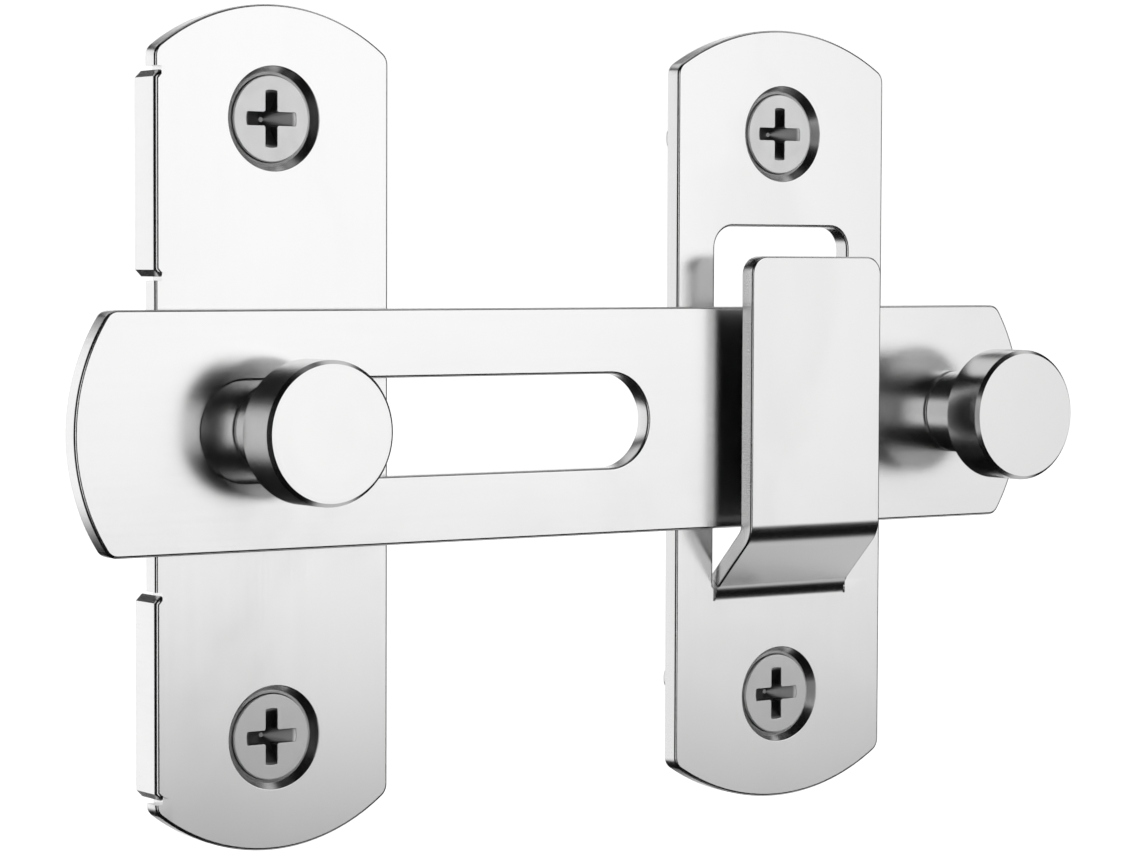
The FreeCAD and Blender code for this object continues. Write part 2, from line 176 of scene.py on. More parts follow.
# %% Draw an outline and give it thickness
def draw_outline(name, width, straight, arcs):
    bpy.ops.object.select_all(action="DESELECT")
    bpy.ops.mesh.primitive_plane_add(size=1, rotation=(math.pi / 2, 0, 0))
    piece = bpy.context.object
    piece.scale = (width * MM, straight * MM, 1)
    settle(name)
    open_piece(piece)
    pick(piece, "FACE")
    bpy.ops.mesh.delete(type="ONLY_FACE")
    pick(piece, "EDGE", lambda e: near(e.verts[0].co.z, e.verts[1].co.z))
    bpy.ops.mesh.delete(type="EDGE")
    for end in (1, -1):
        pick(piece, "VERT", lambda v: near(v.co.x, end * width / 2 * MM)
             and near(v.co.z, end * straight / 2 * MM))
        for x, z, degrees, steps in arcs:
            centre = (end * x * MM, 0, end * z * MM)
            bpy.ops.mesh.spin(steps=steps, angle=math.radians(degrees), center=centre,
                              axis=(0, 1, 0))
    pick(piece, "VERT")
    bpy.ops.mesh.remove_doubles(threshold=0.01 * MM)
    bpy.ops.mesh.edge_face_add()
    return piece


def thicken(piece, front, back):
    pick(piece, "FACE")
    bpy.ops.transform.translate(value=(0, back * MM, 0))
    bpy.ops.mesh.extrude_region_move(
        TRANSFORM_OT_translate={"value": (0, (front - back) * MM, 0)}
    )
    pick(piece, "VERT")
    bpy.ops.mesh.bisect(plane_co=(0, 0, 0), plane_no=(1, 0, 0))
    close_piece(piece)


def strip(name, length, width, tip_radius, corner_radius, front, back):
    tip = length / 2 - tip_radius
    corner_x = width / 2 - corner_radius
    corner_z = tip + math.sqrt((tip_radius - corner_radius) ** 2 - corner_x**2)
    turn = math.degrees(math.atan2(corner_z - tip, corner_x))
    arcs = [
        (corner_x, corner_z, turn, 8),
        (0, tip, 180 - 2 * turn, 48),
        (-corner_x, corner_z, turn, 8),
    ]
    piece = draw_outline(name, width, 2 * corner_z, arcs)
    thicken(piece, front, back)
    return piece


def place(piece, x=0, y=0, z=0, turned=0):
    bpy.ops.object.select_all(action="DESELECT")
    piece.select_set(True)
    bpy.context.view_layer.objects.active = piece
    piece.location = (x * MM, y * MM, z * MM)
    piece.rotation_euler = (0, math.radians(turned), 0)
    bpy.ops.object.transform_apply(location=True, rotation=True, scale=True)


# %% [markdown]
# ## Soft edges
# No real edge is sharp, and on polished steel the tiny round along an edge is the dark or bright
# line that draws the part. Only the edges that are really rounded are beveled. Weighted normals
# then keep the flat faces perfectly flat to the light, while the rounds and arcs shade smoothly.


# %% Round edges and finish a mesh
def soften(piece, radius, where, segments=4):
    open_piece(piece)
    count = pick(piece, "EDGE", lambda e: e.calc_face_angle(0) > 0.5 and where(e))
    bpy.ops.mesh.bevel(offset=radius * MM, offset_type="OFFSET", segments=segments,
                       profile=0.5, affect="EDGES", clamp_overlap=False)
    close_piece(piece)
    return count


def at_depth(y):
    return lambda edge: all(near(vert.co.y, y * MM) for vert in edge.verts)


def smooth_metal(piece):
    bpy.ops.object.select_all(action="DESELECT")
    piece.select_set(True)
    bpy.context.view_layer.objects.active = piece
    bpy.ops.object.shade_smooth_by_angle(angle=math.radians(38))
    apply_modifier(piece, "WEIGHTED_NORMAL", mode="FACE_AREA", weight=50, keep_sharp=True)


def hand_over(piece, node, body):
    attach(piece, body)
    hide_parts(node)
    low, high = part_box(node)
    corners = [Vector(corner) for corner in piece.bound_box]
    gaps = [max(abs(min(c[i] for c in corners) - low[i]),
                abs(max(c[i] for c in corners) - high[i])) / MM for i in range(3)]
    triangles = sum(len(p.vertices) - 2 for p in piece.data.polygons)
    print(f"{piece.name}: {triangles} triangles, off its node's box by "
          f"{gaps[0]:.3f}, {gaps[1]:.3f}, {gaps[2]:.3f} mm")


# %% [markdown]
# ## Turned shapes
# The knobs, the screws and the countersinking drill are all round about one line. Half of the
# section is drawn as a line of points and spun all the way round. The line starts and ends on
# the axis, so both ends close when the doubles are merged.


# %% Turn a section on the lathe
def turn_section(name, section, steps=128):
    first = section[0]
    bpy.ops.object.select_all(action="DESELECT")
    bpy.ops.mesh.primitive_plane_add(size=MM, location=(first[0] * MM, first[1] * MM, 0))
    piece = settle(name)
    open_piece(piece)
    pick(piece, "VERT")
    bpy.ops.mesh.merge(type="CENTER")
    for (r, y), (next_r, next_y) in zip(section, section[1:]):
        bpy.ops.mesh.extrude_vertices_move(
            TRANSFORM_OT_translate={"value": ((next_r - r) * MM, (next_y - y) * MM, 0)}
        )
    pick(piece, "VERT")
    bpy.ops.mesh.spin(steps=steps, angle=2 * math.pi, center=(0, 0, 0), axis=(0, 1, 0))
    close_piece(piece)
    return piece


# %% [markdown]
# ## Countersunk holes
# A countersink is a cone cut from the front down to a short straight hole. The drill that cuts
# both at once is turned as one piece, and it starts in front of the sheet and ends behind it, so
# that no two faces of the cut lie on one another. The drill leaves its rim crisp, so the rim is
# told apart from the other front edges by its distance from the screw.

# %% Cut the screw holes
SHEET = 2.0
EDGE_ROUND, SINK_ROUND = 0.3, 0.06
SINK_RADIUS, HOLE_RADIUS = 5.45, 3.5
SCREW_HEIGHT = 32.2
BASE_X = 0.0
KEEPER_X = 67.5


def countersink(plate, x):
    for z in (SCREW_HEIGHT, -SCREW_HEIGHT):
        throat = SINK_RADIUS - SHEET - HOLE_RADIUS
        drill = turn_section("drill", [
            (0, -SHEET - 1), (SINK_RADIUS + 1, -SHEET - 1), (HOLE_RADIUS, throat),
            (HOLE_RADIUS, 1), (0, 1),
        ])
        place(drill, x=x, z=z)
        cut(plate, drill)


def is_sink_rim(edge):
    return at_depth(-SHEET)(edge) and all(
        min(math.hypot(v.co.x - x * MM, abs(v.co.z) - SCREW_HEIGHT * MM)
            for x in (BASE_X, KEEPER_X)) < (SINK_RADIUS + 0.15) * MM for v in edge.verts)


# %% [markdown]
# ## The base plate
# The base plate is the strip outline with two screw holes, a hole for the knob's tenon, and two
# lips on its left side that fold back over the edge of the door. The lips are folded from the
# same sheet, with a small notch at each end so that the fold doesn't tear the plate. The plate's
# back is divided by straight cuts, and the two patches at its side are extruded into the lips,
# which keeps plate and lips one closed skin for the bevels to run round.

# %% Make the base plate
LIP_SPANS = ((15.85, 36.85), (-37.75, -16.75))
LIP_SIDE, LIP_REACH = -14, 2.4
NOTCH_HEIGHT, NOTCH_SIDE = 0.4, -13.2
FOLD_ROUND, LIP_CORNER, LIP_RIM = 0.45, 0.7, 0.2
TENON_HOLE, RIVET_MOUTH, RIVET_DEPTH = 3.05, 3.94, 0.9


def beside_lip(z, margin=0.0):
    return any((low - margin) * MM < z < (high + margin) * MM for low, high in LIP_SPANS)


def is_lip_corner(edge):
    return near(edge.verts[0].co.z, edge.verts[1].co.z) and all(
        near(v.co.x, LIP_SIDE * MM) and beside_lip(v.co.z, 0.01) for v in edge.verts)


def is_fold(edge):
    return at_depth(-SHEET)(edge) and all(
        v.co.x < (NOTCH_SIDE + 0.01) * MM and beside_lip(v.co.z, 0.01) for v in edge.verts)


def is_notch(edge):
    on_side = all(near(v.co.x, LIP_SIDE * MM) for v in edge.verts)
    return not on_side and all(
        v.co.x < (NOTCH_SIDE + 0.01) * MM and beside_lip(v.co.z, 0.5) for v in edge.verts)


base = strip("base_plate_steel", 88, 28, 22, 1.6, -SHEET, 0)
for low, high in LIP_SPANS:
    for notch in (low - NOTCH_HEIGHT, high):
        cut(base, block("notch", (-16, -3, notch), (NOTCH_SIDE, 1, notch + NOTCH_HEIGHT)))
open_piece(base)
for low, high in LIP_SPANS:
    for level in (low, high):
        pick(base, "VERT")
        bpy.ops.mesh.bisect(plane_co=(0, 0, level * MM), plane_no=(0, 0, 1))
pick(base, "VERT")
bpy.ops.mesh.bisect(plane_co=((LIP_SIDE + SHEET) * MM, 0, 0), plane_no=(1, 0, 0))
print("lip patches:", pick(base, "FACE", lambda f: f.normal.y > 0.9
                           and f.calc_center_bounds().x < (LIP_SIDE + SHEET) * MM
                           and beside_lip(f.calc_center_bounds().z)))
bpy.ops.mesh.extrude_region_move(TRANSFORM_OT_translate={"value": (0, LIP_REACH * MM, 0)})
close_piece(base)
print("lip corners:", soften(base, LIP_CORNER, is_lip_corner, 1))
print("folds:", soften(base, FOLD_ROUND, is_fold, 8))
print("lip rims:", soften(base, LIP_RIM, at_depth(LIP_REACH), 3))
countersink(base, BASE_X)
cut(base, rod("tenon_hole", 0, 0, -SHEET - 1, 1, TENON_HOLE))
cut(base, rod("rivet_mouth", 0, 0, -RIVET_DEPTH, 0.1, TENON_HOLE, RIVET_MOUTH))
print("front edges:", soften(base, EDGE_ROUND, lambda e: at_depth(-SHEET)(e) and not is_sink_rim(e)
                             and not is_notch(e)))
print("sink rims:", soften(base, SINK_ROUND, is_sink_rim, 2))
smooth_metal(base)
hand_over(base, "base_plate", "plates")

# %% [markdown]
# ## The keeper plate and its hook
# The keeper is a wider strip. Its window is punched on three sides, and the tongue that is left
# is bent forwards and up into a hook, so the hook is the same metal as the plate. The tongue is
# a short block whose top face is spun round the bend, pushed along the slope, spun back and
# pushed up: Spin turns about a real bend centre, so the sheet keeps its thickness all the way.

# %% Bend the hook
HOOK_LEFT, HOOK_RIGHT = 58.1, 76.9
LOWER_BEND = (-4.5, -20.935)
UPPER_BEND = (-5.0, -11.95)
SLOPE = 6.707
HOOK_TOP = 18.2
FOOT_TOP = -19.3

hook = block("hook", (HOOK_LEFT, -SHEET, -23), (HOOK_RIGHT, 0, LOWER_BEND[1]))
open_piece(hook)
print("end of the tongue:", pick(hook, "FACE", lambda f: f.normal.z > 0.9), "face")


def bend(centre, degrees):
    bpy.ops.mesh.spin(steps=12, angle=math.radians(degrees), axis=(1, 0, 0),
                      center=(0, centre[0] * MM, centre[1] * MM))


def push(y, z):
    bpy.ops.mesh.extrude_region_move(TRANSFORM_OT_translate={"value": (0, y * MM, z * MM)})


bend(LOWER_BEND, -45)
push(-SLOPE / math.sqrt(2), SLOPE / math.sqrt(2))
bend(UPPER_BEND, 45)
push(0, HOOK_TOP - UPPER_BEND[1])
close_piece(hook)
print("hook corners:", soften(hook, 2.0, lambda e: between(e, 2, (HOOK_TOP - 0.01) * MM, 1)
                              and near(e.verts[0].co.x, e.verts[1].co.x), 10))


def is_hook_rim(edge):
    beside = all(near(v.co.x, HOOK_LEFT * MM) or near(v.co.x, HOOK_RIGHT * MM)
                 for v in edge.verts)
    bent = all(v.co.z > FOOT_TOP * MM for v in edge.verts)
    on_top = any(v.co.z > (HOOK_TOP - 2.5) * MM for v in edge.verts)
    level = near(edge.verts[0].co.y, edge.verts[1].co.y)
    return bent and (beside or (on_top and level))


print("hook rims:", soften(hook, 0.25, is_hook_rim, 4))

# %% [markdown]
# ## Punch the keeper
# The window's tool is a block with its two upper corners rounded, a little wider than the
# tongue, which leaves the two fine slits beside the hook's foot. The plate's edges are rounded
# before the hook is joined on, so that the joint itself stays flush.

# %% Make the keeper plate
WINDOW_LOW, WINDOW_HIGH = (57.8, -4, -20.95), (77.2, 2, 21.6)

keeper = strip("keeper_plate_steel", 88, 30, 26.5, 1.6, -SHEET, 0)
place(keeper, x=KEEPER_X)
punch = block("punch", WINDOW_LOW, WINDOW_HIGH)
soften(punch, 2.5, lambda e: between(e, 2, (WINDOW_HIGH[2] - 0.01) * MM, 1)
       and near(e.verts[0].co.x, e.verts[1].co.x), 12)
cut(keeper, punch)
countersink(keeper, KEEPER_X)
open_piece(keeper)
pick(keeper, "VERT")
bpy.ops.mesh.bisect(plane_co=(0, 0, FOOT_TOP * MM), plane_no=(0, 0, 1))
close_piece(keeper)


def is_foot(edge):
    low, high = WINDOW_LOW[0] - 1, WINDOW_HIGH[0] + 1
    return between(edge, 2, -22 * MM, (FOOT_TOP + 0.01) * MM) and between(edge, 0, low * MM, high * MM)


print("front edges:", soften(keeper, EDGE_ROUND, lambda e: at_depth(-SHEET)(e) and not is_foot(e)
                             and not is_sink_rim(e)))
print("sink rims:", soften(keeper, SINK_ROUND, is_sink_rim, 2))
cut(keeper, hook, "UNION")
open_piece(keeper)
close_piece(keeper)
smooth_metal(keeper)
hand_over(keeper, "keeper_plate", "plates")

# %% [markdown]
# ## The sliding bar
# The bar is the same strip laid on its side. Its slot has round ends, so the slot's tool is the
# outline drawing again, with one half turn at each end. All the front edges get one small round,
# the slot's too, because a bar that is handled every day has no sharp edge.

# %% Make the bar
BAR_FRONT, BAR_BACK = -4.15, -2.15
BAR_LEFT, BAR_RIGHT = -24.3, 102.7
SLOT_LEFT, SLOT_RIGHT, SLOT_RADIUS = -9.8, 46.9, 5.2
PULL_X = 92.3

bar = strip("bolt_bar_steel", BAR_RIGHT - BAR_LEFT, 25, 21.3, 1.6, BAR_FRONT, BAR_BACK)
place(bar, x=(BAR_LEFT + BAR_RIGHT) / 2, turned=90)
straight = SLOT_RIGHT - SLOT_LEFT - 2 * SLOT_RADIUS
slot = draw_outline("slot", 2 * SLOT_RADIUS, straight, [(0, straight / 2, 180, 64)])
thicken(slot, BAR_FRONT - 1, BAR_BACK + 1)
place(slot, x=(SLOT_LEFT + SLOT_RIGHT) / 2, turned=90)
cut(bar, slot)
cut(bar, rod("tenon_hole", PULL_X, 0, BAR_FRONT - 1, BAR_BACK + 1, TENON_HOLE))
cut(bar, rod("rivet_mouth", PULL_X, 0, BAR_BACK - RIVET_DEPTH, BAR_BACK + 0.1, TENON_HOLE,
             RIVET_MOUTH))
print("front edges:", soften(bar, EDGE_ROUND, lambda e: at_depth(BAR_FRONT)(e)
                             and e.verts[0].co.xz.length < 1))
smooth_metal(bar)
hand_over(bar, "bolt_bar", "bolt")

# %% [markdown]
# ## Turned knobs
# A knob is a lathe job: a head, a thinner neck, and a tenon that is riveted over behind the
# sheet. The rims of the head are turned off at 45 degrees, which is a bevel of one segment.


# %% Turn the two knobs
def is_ring(radius, low=-99, high=99):
    return lambda edge: all(near(Vector((v.co.x, v.co.z)).length, radius * MM)
                            and low * MM < v.co.y < high * MM for v in edge.verts)


HEAD_RADIUS, HEAD_HEIGHT, NECK_RADIUS = 7.5, 5.5, 4.8
TENON_RADIUS, RIVET_RADIUS, RIVET_HEIGHT = 3.0, 3.7, 0.8
KNOB_CHAMFER, NECK_ROUND = 0.4, 0.4
PIVOT_SEAT, PIVOT_NECK, PULL_NECK = -2.05, 6.0, 6.6
RIVET_SUNK = 0.1


def turned_knob(name, seat, neck, end, x):
    back = seat - neck
    section = [
        (0, back - HEAD_HEIGHT), (HEAD_RADIUS, back - HEAD_HEIGHT), (HEAD_RADIUS, back),
        (NECK_RADIUS, back), (NECK_RADIUS, seat), (TENON_RADIUS, seat),
        (TENON_RADIUS, end - RIVET_HEIGHT), (RIVET_RADIUS, end - 0.07),
        (RIVET_RADIUS * 0.6, end - 0.01),
        (0, end),
    ]
    knob = turn_section(name, section)
    print(name, "rims:", soften(knob, KNOB_CHAMFER, is_ring(HEAD_RADIUS), 1),
          soften(knob, NECK_ROUND, is_ring(NECK_RADIUS, seat - 1), 5))
    smooth_metal(knob)
    place(knob, x=x)
    return knob


pivot_knob = turned_knob("pivot_knob_steel", PIVOT_SEAT, PIVOT_NECK, -RIVET_SUNK, BASE_X)
hand_over(pivot_knob, "pivot_knob", "pivot")
pull_knob = turned_knob("pull_knob_steel", BAR_FRONT, PULL_NECK, BAR_BACK - RIVET_SUNK, PULL_X)
hand_over(pull_knob, "pull_knob", "bolt")

# %% [markdown]
# ## Countersunk screws
# A wood screw has a flat head over a cone, a shank, and a coarse thread that runs out to a
# point. The body is turned like a knob, and the fan of triangles on its face is dissolved into
# one flat face. The recess and the thread follow. One screw is made and the others are copies.

# %% Turn one screw
SCREW_FACE = -1.45
SCREW_HEAD_RADIUS, SCREW_LAND = 4.5, 0.3
SHANK_RADIUS, THREAD_RADIUS, PITCH = 1.75, 2.4, 2.2
THREAD_START, TIP_START, TIP_END = 3.2, 14.95, 18.55

cone_start = SCREW_FACE + SCREW_LAND
cone_end = cone_start + SCREW_HEAD_RADIUS - THREAD_RADIUS
screw = turn_section("screw_base_upper_steel", [
    (0, SCREW_FACE), (SCREW_HEAD_RADIUS, SCREW_FACE), (SCREW_HEAD_RADIUS, cone_start),
    (THREAD_RADIUS, cone_end), (THREAD_RADIUS, 2.2), (SHANK_RADIUS, 3.0),
    (SHANK_RADIUS, TIP_START), (SHANK_RADIUS, TIP_END - 0.6), (0, TIP_END),
], 96)
open_piece(screw)
print("head facets:", pick(screw, "FACE", lambda f: f.normal.y < -0.99))
bpy.ops.mesh.dissolve_faces()
bpy.ops.mesh.bisect(plane_co=(0, 0, 0), plane_no=(1, 0, 0))
close_piece(screw)
print("screw rim:", soften(screw, 0.1, is_ring(SCREW_HEAD_RADIUS, -9, -1.3), 3))

# %% [markdown]
# ## The cross recess
# The recess for the screwdriver is a cross that narrows to a point. Two crossed blocks give the
# cross, its corners are rounded, and what it shares with a cone is the tool that is pressed into
# the head. Keeping only the shared part is a Boolean too, called Intersect.

# %% Cut the cross recess
RECESS_SPAN, RECESS_ARM, RECESS_DEPTH = 6.0, 1.4, 2.2
CONE_MOUTH, CONE_TIP = 3.36, 0.25


def arm_block(name, width, height):
    return block(name, (-width / 2, SCREW_FACE - 0.5, -height / 2),
                 (width / 2, SCREW_FACE + RECESS_DEPTH + 0.1, height / 2))


recess = arm_block("recess_tool", RECESS_SPAN, RECESS_ARM)
cut(recess, arm_block("recess_arm", RECESS_ARM, RECESS_SPAN), "UNION")
soften(recess, 0.25, lambda e: not near(e.verts[0].co.y, e.verts[1].co.y), 4)
cone = rod("recess_cone", 0, 0, SCREW_FACE - 0.3, SCREW_FACE + RECESS_DEPTH, CONE_MOUTH, CONE_TIP)
cut(recess, cone, "INTERSECT")
cut(screw, recess)
print("recess edges:", soften(screw, 0.05, lambda e: at_depth(SCREW_FACE)(e) and
                              all(Vector((v.co.x, v.co.z)).length < 3.4 * MM for v in e.verts), 2))

# %% [markdown]
# ## The thread
# A thread is a ridge that climbs as it turns. A small triangle is extruded along the screw,
# turned a little, and extruded again, like a hand winding wire. Where the ridge begins it grows
# out of the shank, and over the point it shrinks with the cone, so it is resized at each step.

# %% Wind the thread
THREAD_STEPS = 20


def thread_size(y):
    run_in = min(1.0, SHANK_RADIUS / THREAD_RADIUS + 0.35 * (y - THREAD_START))
    run_out = min(1.0, (TIP_END - y) / (TIP_END - TIP_START))
    return min(run_in, run_out)


bpy.ops.object.select_all(action="DESELECT")
bpy.ops.mesh.primitive_circle_add(vertices=3, radius=MM, fill_type="NGON",
                                  rotation=(0, 0, -math.pi / 2))
thread = settle("thread")
open_piece(thread)
pick(thread, "VERT")
bpy.ops.transform.resize(value=(0.5, 0.5, 1), center_override=(0, 0, 0))
bpy.ops.transform.translate(value=((THREAD_RADIUS - 0.5) * MM, THREAD_START * MM, 0))
start = thread_size(THREAD_START)
bpy.ops.transform.resize(value=(start, 1, start), center_override=(0, 0, 0))
pick(thread, "FACE")
y = THREAD_START
while y < TIP_END - 0.55:
    bpy.ops.mesh.extrude_region_move(
        TRANSFORM_OT_translate={"value": (0, PITCH / THREAD_STEPS * MM, 0)}
    )
    bpy.ops.transform.rotate(value=2 * math.pi / THREAD_STEPS, orient_axis="Y",
                             center_override=(0, 0, 0))
    grow = thread_size(y + PITCH / THREAD_STEPS) / thread_size(y)
    bpy.ops.transform.resize(value=(grow, 1, grow), center_override=(0, 0, 0))
    y += PITCH / THREAD_STEPS
close_piece(thread)
print("thread faces:", len(thread.data.polygons))
cut(screw, thread, "UNION")
smooth_metal(screw)

# %% [markdown]
# ## Four screws from one
# The first screw is made on the middle line, where its axis is easy to work round. The other
# three are copies with meshes of their own, and all four are then moved into their holes.


# %% Set the four screws
def copy_of(piece, name):
    bpy.ops.object.select_all(action="DESELECT")
    piece.select_set(True)
    bpy.context.view_layer.objects.active = piece
    bpy.ops.object.duplicate(linked=False)
    other = bpy.context.object
    other.name = other.data.name = name
    return other


screws = [screw]
for node in ("screw_base_lower", "screw_keeper_upper", "screw_keeper_lower"):
    screws.append(copy_of(screw, node + "_steel"))
for piece in screws:
    x = BASE_X if "base" in piece.name else KEEPER_X
    z = SCREW_HEIGHT if "upper" in piece.name else -SCREW_HEIGHT
    place(piece, x=x, z=z)
    hand_over(piece, piece.name.removesuffix("_steel"), "plates")

# %% [markdown]
# ## Shader maths
# A material is a sum of small patterns. Nodes can be wired one by one, but a formula is easier
# to read, so a thin wrapper turns Python's own operators into Math nodes. Anything that isn't
# plain maths is added by one method that takes the node's type, its settings and its sockets.


# %% A small language for finishes
class Pattern:
    """The output socket of a node, with Python's operators."""

    def __init__(self, tree, socket):
        self.tree, self.socket = tree, socket

    def node(self, kind, settings, sockets, output=0):
        made = self.tree.nodes.new(kind)
        for key, value in settings.items():
            if key == "stops":
                for stop, (position, level) in zip(made.color_ramp.elements, value):
                    stop.position, stop.color = position, (level, level, level, 1)
            else:
                setattr(made, key, value)
        for key, value in sockets.items():
            if isinstance(value, Pattern):
                self.tree.links.new(value.socket, made.inputs[key])
            else:
                made.inputs[key].default_value = value
        return Pattern(self.tree, made.outputs[output] if made.outputs else None)

    def maths(self, operation, first, second):
        return self.node("ShaderNodeMath", {"operation": operation}, {0: first, 1: second})

    def __add__(self, other):
        return self.maths("ADD", self, other)

    def __radd__(self, other):
        return self.maths("ADD", other, self)

    def __sub__(self, other):
        return self.maths("SUBTRACT", self, other)

    def __rsub__(self, other):
        return self.maths("SUBTRACT", other, self)

    def __mul__(self, other):
        return self.maths("MULTIPLY", self, other)

    def __rmul__(self, other):
        return self.maths("MULTIPLY", other, self)

    def __pow__(self, other):
        return self.maths("POWER", self, other)

    def fade(self, low, high, start=0.0, end=1.0):
        settings = {"interpolation_type": "SMOOTHSTEP"}
        levels = {"Value": self, "From Min": low, "From Max": high, "To Min": start, "To Max": end}
        return self.node("ShaderNodeMapRange", settings, levels)


def start_tree(owner):
    """An empty node tree, and a handle on its coordinates."""
    owner.use_nodes = True
    owner.node_tree.nodes.clear()
    return Pattern(owner.node_tree, None)


def noise(coordinates, scale, detail=2.0, roughness=0.5, distortion=0.0):
    sockets = {"Vector": coordinates, "Scale": scale, "Detail": detail,
               "Roughness": roughness, "Distortion": distortion}
    return coordinates.node("ShaderNodeTexNoise", {}, sockets)


def stretched(coordinates, scale, location=(0, 0, 0)):
    sockets = {"Vector": coordinates, "Scale": scale, "Location": location}
    return coordinates.node("ShaderNodeMapping", {}, sockets)


def mixed(factor, dark, light):
    settings = {"data_type": "RGBA"}
    sockets = {0: factor, 6: (*dark, 1), 7: (*light, 1)}
    return factor.node("ShaderNodeMix", settings, sockets, 2)


# %% [markdown]
# ## Satin sheet steel
# Satin steel is a mirror with a very fine grain, so its reflections are clear in shape and soft
# at their edges. Three things keep it from looking like plastic: faint polishing lines along
# the strip, a slow unevenness in how sharp the reflection is, and cut edges that are rougher
# than the faces, with fine lines where the shears passed. The lines go into the bump and the
# roughness, and the colour hardly changes, because bare steel has next to no colour of its own.


# %% Mix the sheet steel
def sheet_steel(name, along, tone=0.76):
    material = bpy.data.materials.new(name)
    tree = start_tree(material)
    place_on = tree.node("ShaderNodeTexCoord", {}, {}, "Object")
    facing = tree.node("ShaderNodeTexCoord", {}, {}, "Normal")
    depth = tree.node("ShaderNodeSeparateXYZ", {}, {"Vector": facing}, "Y")
    cut_edge = 1 - tree.node("ShaderNodeMath", {"operation": "ABSOLUTE"}, {0: depth})
    cut_edge = cut_edge.fade(0.25, 0.75)
    length_scale = (60, 2600, 2600) if along == "X" else (2600, 2600, 60)
    lines = noise(stretched(place_on, length_scale), 1.0, 3.0, 0.6)
    shear = noise(stretched(place_on, (4200, 260, 4200)), 1.0, 2.0, 0.6)
    cloud = noise(place_on, 70.0, 3.0, 0.55, 0.4)
    grain = noise(place_on, 5200.0, 2.0, 0.6)
    smudge = noise(place_on, 24.0, 4.0, 0.6, 0.8).fade(0.52, 0.72)
    roughness = (0.215 + 0.05 * (cloud - 0.5) + 0.05 * (lines - 0.5) + 0.03 * (grain - 0.5)
                 + 0.02 * smudge + cut_edge * (0.03 + 0.08 * (shear - 0.5)))
    shade = 0.6 + 0.6 * (cloud - 0.5) + 0.5 * (lines - 0.5) - 0.2 * smudge - 0.3 * cut_edge
    dark = (tone * 0.945, tone * 0.943, tone * 0.94)
    light = (tone * 1.03, tone * 1.03, tone * 1.032)
    height = 0.35 * lines + 0.25 * grain + 0.4 * cut_edge * shear
    bump = tree.node("ShaderNodeBump", {}, {"Strength": 0.2, "Distance": 0.000004,
                                            "Height": height})
    steel = tree.node("ShaderNodeBsdfPrincipled", {}, {
        "Base Color": mixed(shade, dark, light), "Metallic": 1.0, "Roughness": roughness,
        "Normal": bump,
    })
    tree.node("ShaderNodeOutputMaterial", {}, {"Surface": steel})
    return material


plate_steel = sheet_steel("satin_plate_steel", "Z")
bar_steel = sheet_steel("satin_bar_steel", "X")


def finish_with(piece, material):
    piece.data.materials.clear()
    piece.data.materials.append(material)


finish_with(base, plate_steel)
finish_with(keeper, plate_steel)
finish_with(bar, bar_steel)
print("sheet steel on", [piece.name for piece in (base, keeper, bar)])

# %% [markdown]
# ## Turned steel
# A lathe leaves rings that no polishing quite removes. Rings about the knob's own axis come
# from the distance to that axis, and on the sides of the head the same fine lines run round it.
# A Mapping node puts the axis of the pattern on the axis of the knob.


# %% Mix the turned steel
def turned_steel(name, axis_x, tone=0.74):
    material = bpy.data.materials.new(name)
    tree = start_tree(material)
    object_place = tree.node("ShaderNodeTexCoord", {}, {}, "Object")
    centred = stretched(object_place, (1, 1, 1), (-axis_x * MM, 0, 0))
    flat = stretched(centred, (1, 0, 1))
    radius = tree.node("ShaderNodeVectorMath", {"operation": "LENGTH"}, {0: flat}, "Value")
    along = tree.node("ShaderNodeSeparateXYZ", {}, {"Vector": centred}, "Y")
    path = radius * 3000 + along * 2300
    line = tree.node("ShaderNodeCombineXYZ", {}, {"X": path, "Y": radius * 120})
    rings = noise(line, 1.0, 3.0, 0.6)
    cloud = noise(centred, 160.0, 3.0, 0.55, 0.3)
    grain = noise(centred, 6200.0, 2.0, 0.6)
    roughness = 0.2 + 0.07 * (rings - 0.5) + 0.06 * (cloud - 0.5) + 0.03 * (grain - 0.5)
    shade = 0.5 + 0.6 * (rings - 0.5) + 0.5 * (cloud - 0.5)
    dark = (tone * 0.95, tone * 0.948, tone * 0.945)
    light = (tone * 1.03, tone * 1.03, tone * 1.03)
    bump = tree.node("ShaderNodeBump", {}, {"Strength": 0.3, "Distance": 0.000004,
                                            "Height": 0.7 * rings + 0.2 * grain})
    steel = tree.node("ShaderNodeBsdfPrincipled", {}, {
        "Base Color": mixed(shade, dark, light), "Metallic": 1.0, "Roughness": roughness,
        "Normal": bump,
    })
    tree.node("ShaderNodeOutputMaterial", {}, {"Surface": steel})
    return material


finish_with(pivot_knob, turned_steel("turned_pivot_steel", 0))
finish_with(pull_knob, turned_steel("turned_pull_steel", PULL_X))
print("turned steel on", pivot_knob.name, "and", pull_knob.name)
